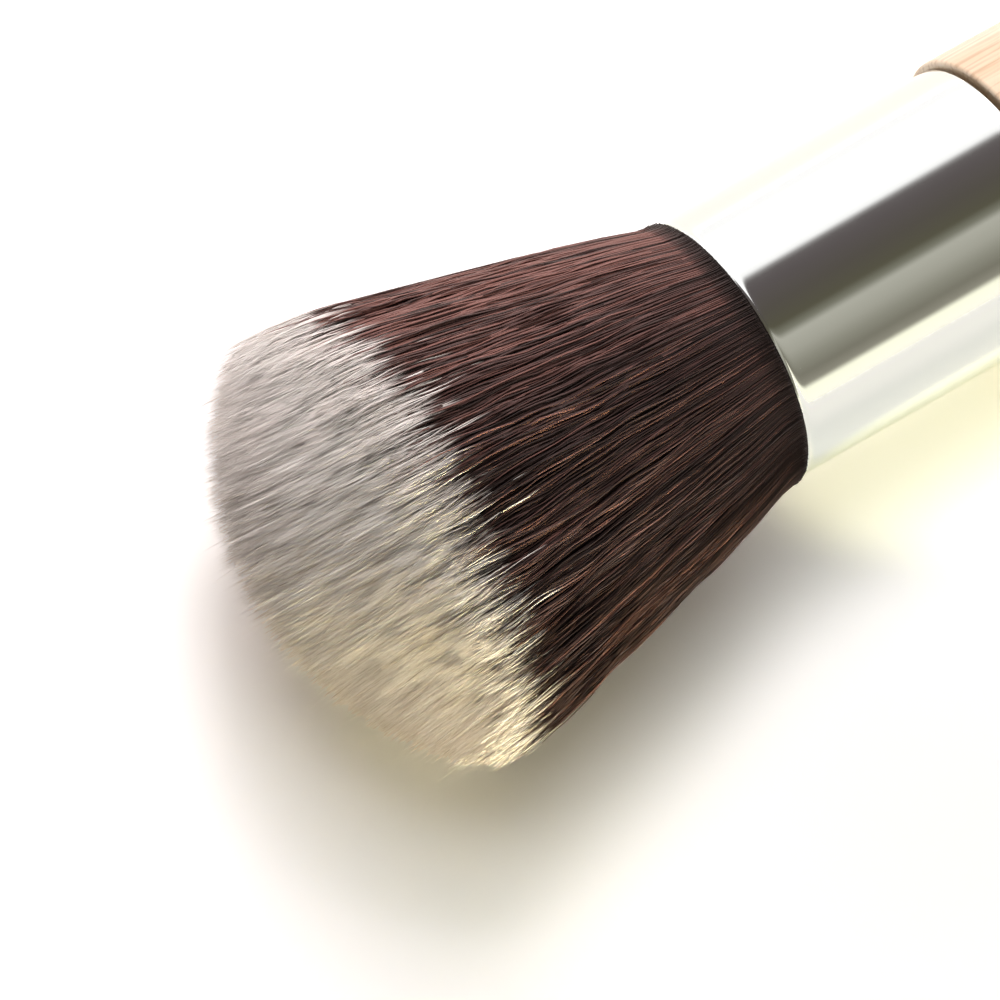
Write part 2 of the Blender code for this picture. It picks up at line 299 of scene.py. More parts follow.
def arc(radius, height, size, start, end, steps):
    """Points of an arc round (radius, height), from one angle in degrees to another."""
    turns = [math.radians(start + (end - start) * step / steps) for step in range(steps + 1)]
    return [(radius + size * math.cos(turn), height + size * math.sin(turn)) for turn in turns]


def ferrule_outline():
    """Wall with a slight taper and a small flare, from the rear forward outside and back inside."""
    rear_height = FERRULE_REAR_EDGE - FERRULE_LENGTH
    rear_radius = FERRULE_REAR_RADIUS - FERRULE_REAR_EDGE
    rear = arc(rear_radius, rear_height, FERRULE_REAR_EDGE, -90, 0, EDGE_STEPS)
    wall = []
    for step in range(1, WALL_STEPS):
        share = step / WALL_STEPS
        wall.append((
            FERRULE_REAR_RADIUS + (FERRULE_MOUTH_RADIUS - FERRULE_REAR_RADIUS) * share,
            -FERRULE_LENGTH + (FERRULE_LENGTH - FLARE_LENGTH) * share,
        ))
    rim_round = FERRULE_WALL / 2
    flare = []
    for step in range(FLARE_STEPS):
        share = step / FLARE_STEPS
        flare.append((
            FERRULE_MOUTH_RADIUS + FLARE_DEPTH * share ** 3,
            (FLARE_LENGTH - rim_round) * share - FLARE_LENGTH,
        ))
    rim_radius = FERRULE_MOUTH_RADIUS + FLARE_DEPTH - rim_round
    rim = arc(rim_radius, -rim_round, rim_round, 0, 180, RIM_STEPS)
    inside = [
        (FERRULE_MOUTH_RADIUS - FERRULE_WALL, -FLARE_LENGTH),
        (FERRULE_REAR_RADIUS - FERRULE_WALL, rear_height),
    ]
    return [*rear, *wall, *flare, *rim, *inside]


def handle_outline():
    """Half outline from the middle of the tenon's end to the middle of the handle's end."""
    top = -FERRULE_LENGTH - SEAT_GAP
    straight = HANDLE_LENGTH - SHOULDER_EDGE - HANDLE_END_ROUND
    outline = [
        (0, TENON_TOP),
        (TENON_RADIUS - TENON_CHAMFER, TENON_TOP),
        (TENON_RADIUS, TENON_TOP - TENON_CHAMFER),
        (TENON_RADIUS, top),
    ]
    shoulder_radius = HANDLE_JOINT_RADIUS - SHOULDER_EDGE
    outline += arc(shoulder_radius, top - SHOULDER_EDGE, SHOULDER_EDGE, 90, 0, EDGE_STEPS)
    for step in range(1, HANDLE_STEPS + 1):
        share = step / HANDLE_STEPS
        narrowing = (HANDLE_JOINT_RADIUS - HANDLE_END_RADIUS) * share ** HANDLE_CURVE_POWER
        outline.append((HANDLE_JOINT_RADIUS - narrowing, top - SHOULDER_EDGE - straight * share))
    end_height = top - HANDLE_LENGTH + HANDLE_END_ROUND
    end_radius = HANDLE_END_RADIUS - HANDLE_END_ROUND
    outline += arc(end_radius, end_height, HANDLE_END_ROUND, HANDLE_END_TURN, -90, END_STEPS)
    outline.append((0, top - HANDLE_LENGTH))
    return outline


def plug_outline(top, end):
    return [(0, top), (KNOT_RADIUS, top), (KNOT_RADIUS, end), (0, end)]


def glue_outline():
    return [
        (GLUE_INNER_RADIUS, GLUE_END), (GLUE_OUTER_RADIUS, GLUE_END),
        (GLUE_OUTER_RADIUS, GLUE_TOP), (GLUE_INNER_RADIUS, GLUE_TOP),
    ]


# Form of the head
FIBRE_RADIUS = 0.055 * MM
RIM_START = -0.06 * MM                 # between these two heights each fibre rounds the ferrule's rim
RIM_END = 0.09 * MM
LOWEST_TIP = 18 * MM
HALVINGS = 40
PRESSED_DEPTH = 3.5 * MM               # fibres give way within this depth above the table
TINY = 1e-9                            # keeps a division clear of zero


def spread(height):
    """Radius of the outermost fibres at this height. They swell over the lip, then flare as a cone."""
    waist = np.clip(height / WAIST_HEIGHT, 0, None)
    inside = (MOUTH_RADIUS - KNOT_RADIUS) * np.interp(height, [RIM_START, RIM_END], [1, 0])
    flare = (BELLY_RADIUS - MOUTH_RADIUS) * CONE_SHARE * height / BELLY_HEIGHT
    return MOUTH_RADIUS + flare - inside - WAIST_DEPTH * waist * np.exp(1 - waist)


def dome(height):
    """Radius of the dome above the belly. Below the belly it is a metre, which limits nothing."""
    share = np.clip((height - BELLY_HEIGHT) / (HEAD_LENGTH - BELLY_HEIGHT), 0, 1)
    return np.where(height < BELLY_HEIGHT, 1.0, BELLY_RADIUS * np.sqrt(1 - share ** DOME_POWER))


def lateral(share, height):
    """Distance from the axis of a fibre with this share of the head's radius. Outer ones bend inward."""
    over = np.clip((height - BEND_HEIGHT) / BEND_LENGTH, 0, None)
    return share * spread(height) * (1 - BEND_SHARE * share ** 3 * over ** 2)


def tip_heights(share):
    """Heights at which fibres with these shares of the head's radius meet the dome, found by halving."""
    low, high = np.full(len(share), LOWEST_TIP), np.full(len(share), HEAD_LENGTH)
    for _ in range(HALVINGS):
        middle = (low + high) / 2
        inside = lateral(share, middle) < dome(middle)
        low = np.where(inside, middle, low)
        high = np.where(inside, high, middle)
    return low


def press_flat(places):
    """Fibres under the head give way where it lies on the table. +X is the side on the table here."""
    x, y, height = places[..., 0], places[..., 1], places[..., 2]
    table = (MOUTH.z + height * math.sin(LEAN)) / math.cos(LEAN) - FIBRE_RADIUS
    radius = np.minimum(np.where(height < BELLY_HEIGHT, spread(height), BELLY_RADIUS), BELLY_RADIUS)
    lowest = np.sqrt(np.maximum(radius ** 2 - y ** 2, 0))
    held = table - PRESSED_DEPTH
    share = np.clip((x - held) / np.maximum(lowest - held, TINY), None, 1)
    pressed = (lowest > table) & (x > held) & (height > 0)
    x = np.where(pressed, held + PRESSED_DEPTH * share, x)
    return np.stack([np.minimum(x, table), y, height], -1)


# Bristles
FIBRE_SEED = 21
STRANDS = 36000
LOCKS = 3400
STRAND_CROWDING = 0.44                 # a power: 0.5 spreads evenly, and less crowds towards the rim
LOCK_CROWDING = 0.5
STRAND_REACH = 0.995                   # share of the head's radius that the fibres' places fill
STRAND_JITTER = 0.002
LOCK_JITTER = 0.006
GOLDEN_TURN = math.pi * (3 - math.sqrt(5))
SHELL_SHARE = 0.90                     # fibres outside this share have more stations and bends
SECTORS = 7

# Stations along a fibre: four round the ferrule's rim, then shares of the way from there to the tip
ROOT_HEIGHTS = np.array([-1.0 * MM, RIM_START, RIM_END, 0.50 * MM])
ROOT_SHARES = np.array([0, 0.025, 0.03, 0.04])
CORE_SHARES = np.array([0.24, 0.48, 0.70, 0.86, 1.0])
SHELL_SHARES = np.arange(1, 26) / 25

# What the fibres of one lock share: columns of one table of normal values
LENGTH_MOOD = 0
LEAN_MOODS = slice(1, 3)
CHANGE_MOOD = 3
SHADE_MOOD = 4
MOODS = 5

# Lengths
SHORT_MEAN = 0.70 * MM
RARE_SHARE = 0.07
RARE_DEPTH = 3.5 * MM
TIP_RISE = 0.36 * MM                   # makes up for half of what the fibres are short on average
LOCK_LENGTH_SPREAD = 0.34 * MM
LONG_SHARE = 0.10
LONG_MEAN = 0.4 * MM

# Bends, as shares of the head's radius
FREE_SHARE = 0.25                      # fibres bend freely above this share of the head's length
HIGHEST_SHARE = 1.2                    # their bends grow no further than here
SLOW_WAVES = (10, (12, 45), (0, 12), 0.0036)       # (count, ripples across, paces along, size)
QUICK_WAVES = (9, (20, 60), (18, 46), 0.0019)
GATHER_SHARE = 0.52                    # how far a fibre is drawn to the middle of its lock at the tips
GATHER_RANGE = (0.4, 1.3)
GATHER_POWER = 1.8
LOCK_LEAN = 0.009
OWN_LEAN = 0.007
STRAY_SHARE = 0.06
STRAY_TIMES = 3.2
LOCK_TURN = 0.010
OWN_TURN = 0.011
CORE_RIPPLES = [(0.0045, 6, 20)]       # (size, slowest, quickest)
SHELL_RIPPLES = [(0.0045, 6, 26), (0.0034, 26, 62)]
EDGE_SHARE = 1.006                     # fibres stop here, but for the spread and a few flyaways
EDGE_SPREAD = 0.004
FLYAWAY_SHARE = 0.012
FLYAWAY_RANGE = (0.01, 0.04)

# Thickness
FIBRE_SIDES = 3
TAPER_PLACES = [0, 0.1, 0.62, 0.80, 1]
TAPER_SHARES = [0.85, 0.95, 1.3, 1.15, 0.25]
THICKNESS_RANGE = (0.75, 1.2)

# Colour change, with the odd fibres' shifts and the blur in millimetres
LOCK_CHANGE_SPREAD = 0.5 * MM
CHANGE_SPREAD = 0.95 * MM
ODD_SHARE = 0.05
EARLY_RANGE = (1, 5)
LATE_RANGE = (1, 4)
BLUR_RANGE = (0.5, 1.4)
LEVEL_SPAN = 60                        # blurs from level 0 to level 1

# Shade, with painted light on the far side and painted shade on the near side and at the roots
MEAN_SHADE = 0.40
LOCK_SHADE_SPREAD = 0.09
SHADE_SPREAD = 0.14
SHADE_DRIFT = 0.16
DRIFT_KNOTS = 9
# painted light: the side of the head whose fibres are lightened and reddened in place of back light;
# opposite it they get painted shade
PAINTED_LIGHT_SIDE = math.radians(-130)
PAINTED_BACKLIGHT_LIFT = 0.62
# painted shade: how much darker the fibres are made on the near lower side, away from the window lamp
PAINTED_SHADE_DROP = 0.13
# painted shade: above the rim the roots are darkened over this length, in place of the shadow at the
# ferrule's mouth
ROOT_PAINTED_SHADE_START = 0.1 * MM
ROOT_PAINTED_SHADE_LENGTH = 1.3 * MM

# Layout of the map for baked colours: one cell for each fibre, with a margin inside
CELL_SLENDERNESS = 4                   # a cell is this many times as high as it is wide
CELL_MARGIN = 0.05
CELL_SIDE_MARGIN = 0.1

# The surface that stands for the close mass of fibres inside the head
HEART_SEED = 5
HEART_SHARE = 0.95                     # share of the head's radius that it takes
HEART_STEP = 0.06                      # its side stands in from its crown by this share
HEART_DEPTH = 4.0 * MM                 # it lies this far under the tips
HEART_FOOT = 1.0 * MM
HEART_CROWN_STEPS = 34
HEART_SIDE_STEPS = 12
HEART_SIDES = 360
HEART_SHADE = 0.42
HEART_SHADE_SPREAD = 0.20
HEART_CHANGE_DROP = 2 * MM


def sunflower(count, power):
    """Points spread over a unit disc, evenly at a power of 0.5 and crowded to its rim below that."""
    order = np.arange(count)
    share = ((order + 0.5) / count) ** power
    return share[:, None] * np.stack([np.cos(order * GOLDEN_TURN), np.sin(order * GOLDEN_TURN)], -1)


def nearest(points, centres):
    """Number of the centre that lies nearest to each point."""
    tree = KDTree(len(centres))
    for index, (x, y) in enumerate(centres):
        tree.insert((x, y, 0), index)
    tree.balance()
    return np.array([tree.find((x, y, 0))[1] for x, y in points])


def draw_waves(count, ripples, paces, size, chance):
    """Chance waves over the disc and along the length, for sway()."""
    drawn = []
    for _ in range(count):
        turn, course, phase = chance.uniform(0, math.tau, 3)
        pace = chance.uniform(*paces) * chance.choice((-1, 1))
        drawn.append((turn, course, chance.uniform(*ripples), pace, phase, size))
    return drawn


def sway(flat, up, waves):
    """Bends that neighbouring fibres share."""
    moved = np.zeros((*up.shape, 2))
    for turn, course, ripple, pace, phase, size in waves:
        across = ripple * (flat[:, 0] * math.cos(turn) + flat[:, 1] * math.sin(turn))
        wave = size * np.sin(across[:, None] + pace * up + phase)
        moved += wave[..., None] * np.array([math.cos(course), math.sin(course)])
    return moved


def drifting(size, chance):
    """Chance values that change smoothly from one place to the next in a row, with a spread of 1."""
    rough = chance.normal(0, 1, size)
    return (np.roll(rough, 1, 1) + 2 * rough + np.roll(rough, -1, 1)) / 6 ** 0.5


def drifting_along(count, stations, chance):
    """Chance values at the given stations, from a smooth course of knots along each row."""
    knots = drifting((count, DRIFT_KNOTS), chance)
    place = stations * (DRIFT_KNOTS - 1)
    first = np.clip(place.astype(int), 0, DRIFT_KNOTS - 2)
    return knots[:, first] * (1 - place + first) + knots[:, first + 1] * (place - first)


def uneven_tips(flat, share, mood, chance):
    """Heights of the tips: near the dome, with a few well below it and a few above."""
    count = len(flat)
    short = chance.exponential(SHORT_MEAN, count)
    rare = chance.random(count) < RARE_SHARE
    short = np.where(rare, short + chance.uniform(0, RARE_DEPTH, count), short)
    tip = tip_heights(share) - short + TIP_RISE + LOCK_LENGTH_SPREAD * mood[:, LENGTH_MOOD]
    tip += np.where(chance.random(count) < LONG_SHARE, chance.exponential(LONG_MEAN, count), 0)
    tip -= DOME_TILT * BELLY_RADIUS * flat[:, 1]
    return tip


def wander(flat, up, stations, home, mood, waves, ripples, chance):
    """Places over the unit disc that each fibre passes on its way up."""
    count = len(flat)
    free = np.clip(up / FREE_SHARE, 0, 1)
    gather = (GATHER_SHARE * up ** GATHER_POWER) * chance.uniform(*GATHER_RANGE, count)[:, None]
    drawn = flat[:, None] + (home - flat)[:, None] * gather[..., None]
    drawn += sway(flat, up, waves) * free[..., None]
    drawn += mood[:, None, LEAN_MOODS] * (LOCK_LEAN * up ** 1.2)[..., None]
    stray = np.where(chance.random(count) < STRAY_SHARE, STRAY_TIMES, 1)
    drawn += chance.normal(0, 1, (count, 1, 2)) * (OWN_LEAN * stray[:, None] * up ** 1.1)[..., None]
    # towards their tips the fibres, and the locks they stand in, turn their own ways
    turning = LOCK_TURN * mood[:, None, LEAN_MOODS] + chance.normal(0, OWN_TURN, (count, 1, 2))
    drawn += turning * (stations ** 4)[None, :, None]
    for size, slowest, quickest in ripples:
        phase = chance.uniform(0, math.tau, (count, 1, 2))
        pace = chance.uniform(slowest, quickest, (count, 1, 1))
        drawn += np.sin(phase + pace * up[..., None]) * (size * free)[..., None]
    return drawn


def hold_in(drawn, share, up, grow, chance):
    """Stands the wandering fibres up inside the head's outline, but for a few flyaways of the shell."""
    count = len(share)
    at = np.linalg.norm(drawn, axis=-1)
    flyaway = np.where(chance.random(count) < FLYAWAY_SHARE, chance.uniform(*FLYAWAY_RANGE, count), 0)
    limit = np.minimum(at, EDGE_SHARE + EDGE_SPREAD * chance.random(count)[:, None])
    limit += flyaway[:, None] * up ** 2 * (share > SHELL_SHARE)[:, None]
    aim = drawn / np.maximum(at, TINY)[..., None]
    return press_flat(np.concatenate([aim * lateral(limit, grow)[..., None], grow[..., None]], -1))


def change_levels(flat, grow, mood, chance):
    """Levels, 0.5 where a fibre changes colour: alike within a lock but for a few of their own mind."""
    count = len(flat)
    # later towards the near side, +Y, and hardly sooner on the far side
    change = COLOUR_CHANGE + CHANGE_TILT * np.clip(1.8 * flat[:, 1] - 0.2, -0.15, 1)
    change += LOCK_CHANGE_SPREAD * mood[:, CHANGE_MOOD]
    change += chance.normal(0, CHANGE_SPREAD, count)
    odd = chance.random(count)
    change = np.where(odd < ODD_SHARE, change - chance.uniform(*EARLY_RANGE, count) * MM, change)
    change = np.where(odd > 1 - ODD_SHARE, change + chance.uniform(*LATE_RANGE, count) * MM, change)
    blur = chance.uniform(*BLUR_RANGE, count) * MM
    return 0.5 + (grow - change[:, None]) / (LEVEL_SPAN * blur[:, None])


def fibre_shades(flat, share, grow, stations, mood, chance):
    """Shades from 0, dark, to 1, light, at every station."""
    count = len(flat)
    shade = MEAN_SHADE + LOCK_SHADE_SPREAD * mood[:, SHADE_MOOD] + chance.normal(0, SHADE_SPREAD, count)
    # painted light: fibres on the upper far side, which faces the window lamp, are made lighter and
    # redder in place of back light glowing through them
    course = np.arctan2(flat[:, 1], flat[:, 0])
    shade += PAINTED_BACKLIGHT_LIFT * np.clip(np.cos(course - PAINTED_LIGHT_SIDE), 0, 1) ** 2.5 * share ** 2
    # painted shade: fibres on the opposite, near lower side are made darker
    shade -= PAINTED_SHADE_DROP * np.clip(-np.cos(course - PAINTED_LIGHT_SIDE), 0, 1) * share ** 2
    # along its length each fibre turns lighter and darker, and painted shade darkens the roots, where
    # they sit in shadow against the ferrule's rim
    shade = shade[:, None] + SHADE_DRIFT * drifting_along(count, stations, chance)
    shade *= np.clip((grow - ROOT_PAINTED_SHADE_START) / ROOT_PAINTED_SHADE_LENGTH, 0, 1)
    return np.clip(shade, 0, 1)


def bristles(flat, home, mood, free_shares, waves, ripples, chance):
    """Lines of the fibres at these places of the disc, with thickness, level, shade and stations."""
    count = len(flat)
    stations = np.concatenate([ROOT_SHARES, free_shares])
    share = np.minimum(np.linalg.norm(flat, axis=-1), 1)
    tip = uneven_tips(flat, share, mood, chance)
    roots = np.broadcast_to(ROOT_HEIGHTS, (count, len(ROOT_HEIGHTS)))
    free_part = ROOT_HEIGHTS[-1] + free_shares * (tip - ROOT_HEIGHTS[-1])[:, None]
    grow = np.concatenate([roots, free_part], 1)
    up = np.clip(grow / HEAD_LENGTH, 0, HIGHEST_SHARE)
    drawn = wander(flat, up, stations, home, mood, waves, ripples, chance)
    places = hold_in(drawn, share, up, grow, chance)
    thick = np.interp(stations, TAPER_PLACES, TAPER_SHARES)
    thick = FIBRE_RADIUS * thick[None] * chance.uniform(*THICKNESS_RANGE, count)[:, None]
    level = change_levels(flat, grow, mood, chance)
    shade = fibre_shades(flat, share, grow, stations, mood, chance)
    return places, thick, level, shade, stations


def tube_corners(places, thick):
    """Corners of a tube along each line, with a pointed tip, as (strand, station, side, xyz)."""
    along = np.gradient(places, axis=1)
    along /= np.linalg.norm(along, axis=-1, keepdims=True)
    side = np.cross(along, np.array([0.0, 0.0, 1.0])) + np.array([1e-6, 0, 0])
    side /= np.linalg.norm(side, axis=-1, keepdims=True)
    other = np.cross(along, side)
    corners = []
    for turn in range(FIBRE_SIDES):
        angle = math.tau * turn / FIBRE_SIDES
        corners.append(places + thick[..., None] * (math.cos(angle) * side + math.sin(angle) * other))
    corners = np.stack(corners, 2)
    corners[:, -1, :] = places[:, -1, None]
    return corners


def tube_faces(count, stations):
    """Corner numbers of the four-sided faces between each station and the next."""
    strand, station = np.arange(count)[:, None, None], np.arange(stations - 1)[None, :, None]
    lower = (strand * stations + station) * FIBRE_SIDES
    upper = lower + FIBRE_SIDES
    here = np.arange(FIBRE_SIDES)[None, None]
    after = (here + 1) % FIBRE_SIDES
    faces = np.broadcast_arrays(lower + here, lower + after, upper + after, upper + here)
    return np.stack(faces, -1).reshape(-1, 4)


def add_map(mesh, name, values):
    layer = mesh.uv_layers.new(name=name)
    layer.data.foreach_set("uv", values.astype(np.float32).ravel())


def bake_map(strand_of, station_of, count, stations_at):
    """Places on the map for baked colours, where each fibre stands upright in a cell of its own."""
    columns = int(math.ceil(math.sqrt(count * CELL_SLENDERNESS)))
    rows = int(math.ceil(count / columns))
    column, row = strand_of % columns, strand_of // columns
    left, right = CELL_SIDE_MARGIN, 1 - CELL_SIDE_MARGIN
    across = np.array([left, right, right, left])[None]
    up = stations_at[station_of] * (1 - 2 * CELL_MARGIN) + CELL_MARGIN
    return np.stack([(column + across) / columns, (row + up) / rows], -1)


def strand_mesh(name, places, thick, level, shade, stations_at, material):
    """Tapering tubes along the given lines, with a map of (shade, level) and one for baked colours."""
    count, stations = places.shape[:2]
    vertices = tube_corners(places, thick).reshape(-1, 3)
    faces = tube_faces(count, stations)
    mesh = bpy.data.meshes.new(name)
    mesh.vertices.add(len(vertices))
    mesh.vertices.foreach_set("co", vertices.astype(np.float32).ravel())
    mesh.loops.add(faces.size)
    mesh.loops.foreach_set("vertex_index", faces.astype(np.int32).ravel())
    mesh.polygons.add(len(faces))
    mesh.polygons.foreach_set("loop_start", np.arange(0, faces.size, 4, dtype=np.int32))
    mesh.update(calc_edges=True)
    station_of = faces // FIBRE_SIDES % stations
    strand_of = faces // FIBRE_SIDES // stations
    add_map(mesh, "Strand", np.stack([shade[strand_of, station_of], level[strand_of, station_of]], -1))
    add_map(mesh, "OFBake", bake_map(strand_of, station_of, count, stations_at))
    mesh.materials.append(material)
    mesh.shade_smooth()
    piece = add_object(name, mesh)
    piece.matrix_world = LAID
    return piece


def build_bristles(material):
    """A core of fibres seen at their tips only, and a shell of wavier ones, both in sectors."""
    chance = np.random.default_rng(FIBRE_SEED)
    flat = sunflower(STRANDS, STRAND_CROWDING) * STRAND_REACH
    flat += chance.normal(0, STRAND_JITTER, (STRANDS, 2))
    locks = sunflower(LOCKS, LOCK_CROWDING) + chance.normal(0, LOCK_JITTER, (LOCKS, 2))
    lock_moods = chance.normal(0, 1, (LOCKS, MOODS))
    lock = nearest(flat, locks)
    home, mood = locks[lock], lock_moods[lock]
    slow = draw_waves(*SLOW_WAVES, chance)
    quick = draw_waves(*QUICK_WAVES, chance)
    in_shell = np.linalg.norm(flat, axis=-1) > SHELL_SHARE
    angle = np.arctan2(flat[:, 1], flat[:, 0])
    made = []
    for word, mine, shares, waves, ripples in (
        ("core", ~in_shell, CORE_SHARES, slow, CORE_RIPPLES),
        ("shell", in_shell, SHELL_SHARES, slow + quick, SHELL_RIPPLES),
    ):
        places, thick, level, shade, stations = bristles(
            flat[mine], home[mine], mood[mine], shares, waves, ripples, chance
        )
        sector = ((angle[mine] + math.pi) / math.tau * SECTORS).astype(int).clip(0, SECTORS - 1)
        for index in range(SECTORS):
            own = sector == index
            name = f"bristles_{word}_{index + 1}"
            piece = strand_mesh(name, places[own], thick[own], level[own], shade[own], stations, material)
            made.append(piece)
    return made


def build_heart(material):
    """The close mass of fibres inside the head, seen deep in the gaps between the tips only."""
    chance = np.random.default_rng(HEART_SEED)
    crown = np.linspace(0, HEART_SHARE, HEART_CROWN_STEPS)
    heights = tip_heights(crown) - HEART_DEPTH
    outline = [(lateral(share, height), height) for share, height in zip(crown, heights)]
    for height in np.linspace(heights[-1], HEART_FOOT, HEART_SIDE_STEPS)[1:]:
        outline.append((lateral(HEART_SHARE - HEART_STEP, height), height))
    heart = turned("bristles_heart", outline, HEART_SIDES, material)
    mesh = heart.data
    places = np.array([vertex.co for vertex in mesh.vertices])
    places[:, 2] -= DOME_TILT * places[:, 1] * np.clip(places[:, 2] / BELLY_HEIGHT, 0, 1)
    mesh.vertices.foreach_set("co", press_flat(places).astype(np.float32).ravel())
    shades = np.clip(HEART_SHADE + chance.normal(0, HEART_SHADE_SPREAD, len(places)), 0, 1)
    levels = 0.5 + (places[:, 2] - COLOUR_CHANGE + HEART_CHANGE_DROP) / (LEVEL_SPAN * MM)
    corners = np.array([loop.vertex_index for loop in mesh.loops])
    add_map(mesh, "Strand", np.stack([shades[corners], levels[corners]], -1))
    return heart


fibre = fibre_material()
metal = metal_material()
bamboo = bamboo_material()
resin = speckled_material("knot_resin_amber", (0.34, 0.22, 0.09), (0.48, 0.34, 0.16), 0.3, 700)
glue = speckled_material("tenon_glue_dry", (0.74, 0.70, 0.55), (0.84, 0.80, 0.66), 0.45, 900)

hair = [*build_bristles(fibre), build_heart(fibre)]
resin_top = turned("knot_resin_slice", plug_outline(SLICE_TOP, SLICE_END), INNER_SIDES, resin)
plug = turned("knot_resin_plug", plug_outline(PLUG_TOP, PLUG_END), INNER_SIDES, resin)
ferrule = turned("ferrule_tube", ferrule_outline(), FERRULE_SIDES, metal, ring=True)
sleeve = turned("tenon_glue_sleeve", glue_outline(), INNER_SIDES, glue, ring=True)
handle = turned("handle_turned", handle_outline(), HANDLE_SIDES, bamboo)
for piece, slot, node in (
    *((piece, "bristles", "bristle_head") for piece in hair),
    (resin_top, "knot_resin", "bristle_head"),
    (plug, "knot_resin", "knot_plug"),
    (ferrule, "ferrule_metal", "ferrule"),
    (sleeve, "tenon_glue", "tenon_glue"),
    (handle, "handle_wood", "handle"),
):
    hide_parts(node)
    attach(piece, "root")

# Floor, light and camera
FLOOR_SIDE = 6
FLOOR_TONE = (0.93, 0.93, 0.925)
FLOOR_SHOWN_TONE = (1.31, 1.31, 1.33)  # above 1, because the lamps alone don't make the floor white
FLOOR_GLOSS_TONE = (1.19, 1.23, 1.18)
FLOOR_REACH = 0.9                      # beyond this from the brush the lamps light the floor far less
LAMP_AIM = (0.02, 0, 0.012)            # the foot of the head
BESIDE_HEAD = (0.035, 0.065)           # on the table at the near side
# (name, place, aim, size, power, colour)
AREA_LAMPS = [
    ("overhead", (-0.28, -0.34, 0.88), LAMP_AIM, (0.32, 0.32), 3.6, (1.0, 0.95, 0.94)),
    ("ceiling", (-0.06, -0.10, 0.95), LAMP_AIM, (0.5, 0.5), 3.7, (1.0, 0.99, 0.93)),
    ("window", (-0.30, -0.80, 0.32), LAMP_AIM, (0.9, 0.35), 5.2, (1.0, 0.80, 0.79)),
    ("room", (-0.25, 0.50, 0.45), (0.02, 0, 0), (0.3, 0.3), 0.28, (1.0, 0.93, 0.76)),
    ("table_bounce", (*BESIDE_HEAD, 0.002), (*BESIDE_HEAD, 1), (0.06, 0.05), 0.15, (1.0, 0.99, 0.88)),
]
# (name, place, aim, width in degrees, softness, power, colour, stretch sideways)
SPOT_LAMPS = [
    ("low_fill", (0.045, 0.25, 0.012), (0.042, 0, 0.014), 11, 0.01, 5.2, (1.0, 0.88, 0.47), 1),
    ("tip_fill", (0.39, -0.08, 0.015), (0.05, 0, 0.016), 8, 0.01, 1.1, (1.0, 0.98, 0.96), 1),
    ("beside_ferrule", (-0.002, 0.06, 0.05), (-0.002, 0.007, 0), 16, 0.002, 0.105, (1.0, 0.95, 0.56), 2),
]
SPOT_BLEND = 0.4
SCREEN_RADIUS = 0.5
SCREEN_LENGTH = 3                      # along the brush
SCREEN_STEPS = 90
SCREEN_END = 92                        # degrees off the zenith where the screen ends, on both sides
SCREEN_STRENGTH = 4
# (degrees off the zenith, positive towards -Y; colour as a share of the screen's strength)
SCREEN_BANDS = [
    (-92, (0.32, 0.31, 0.27)), (-79, (0.32, 0.32, 0.255)), (-75, (0.080, 0.077, 0.062)),
    (-66, (0.058, 0.056, 0.044)), (-55, (0.082, 0.081, 0.066)), (-45, (0.112, 0.111, 0.094)),
    (-33, (0.132, 0.131, 0.113)), (-28, (0.060, 0.060, 0.047)), (-21, (0.028, 0.0265, 0.018)),
    (-5, (0.027, 0.0242, 0.0205)), (13, (0.031, 0.027, 0.027)), (21, (0.036, 0.032, 0.032)),
    (24, (0.075, 0.072, 0.071)), (28, (0.30, 0.30, 0.30)), (62, (0.50, 0.50, 0.50)),
    (82, (0.31, 0.31, 0.31)), (92, (0.305, 0.305, 0.305)),
]
WORLD_TONE = (0.85, 0.92, 1.0)
WORLD_STRENGTH = 0.06
EYE = (0.106064, 0.106710, 0.325510)
LOOK = (-0.208065, -0.315742, -0.925752)
LENS = 176.782
SENSOR = 36
CLIP_START = 0.01
CLIP_END = 20


def floor_material():
    """White to the camera, a shade less in gloss, and a plain pale tone to every other ray."""
    made, nodes, links, shader = new_material("floor_white")
    ray = nodes.new("ShaderNodeLightPath")
    distance = nodes.new("ShaderNodeVectorMath")
    distance.operation = "LENGTH"
    links.new(own_place(nodes), distance.inputs[0])
    # the tone that is shown grows with the distance as the lamps' light falls off
    reach = calculate(nodes, links, "DIVIDE", distance.outputs["Value"], FLOOR_REACH)
    spreading = calculate(nodes, links, "ADD", calculate(nodes, links, "POWER", reach, 2), 1)
    growth = calculate(nodes, links, "POWER", spreading, 2)
    glossy, clear = ray.outputs["Is Glossy Ray"], ray.outputs["Is Transmission Ray"]
    gloss = calculate(nodes, links, "MAXIMUM", glossy, clear)
    shown = nodes.new("ShaderNodeVectorMath")
    shown.operation = "SCALE"
    links.new(mixed(nodes, links, gloss, FLOOR_SHOWN_TONE, FLOOR_GLOSS_TONE), shown.inputs[0])
    links.new(growth, shown.inputs["Scale"])
    seen = calculate(nodes, links, "MAXIMUM", ray.outputs["Is Camera Ray"], gloss)
    set_finish(links, shader, {
        "Base Color": mixed(nodes, links, seen, FLOOR_TONE, shown.outputs[0]),
        "Roughness": 0.8,
        "Specular IOR Level": 0,
    })
    return made


def build_floor():
    half = FLOOR_SIDE / 2
    mesh = bpy.data.meshes.new("floor")
    corners = [(-half, -half, 0), (half, -half, 0), (half, half, 0), (-half, half, 0)]
    mesh.from_pydata(corners, [], [(0, 1, 2, 3)])
    mesh.materials.append(floor_material())
    return add_object("floor", mesh)


def place_light(light, place, aim, power, colour):
    light.energy = power
    light.color = colour
    made = add_object(light.name, light)
    made.location = place
    made.rotation_euler = (Vector(aim) - Vector(place)).to_track_quat("-Z", "Y").to_euler()
    made.visible_glossy = False
    made.visible_camera = False
    return made


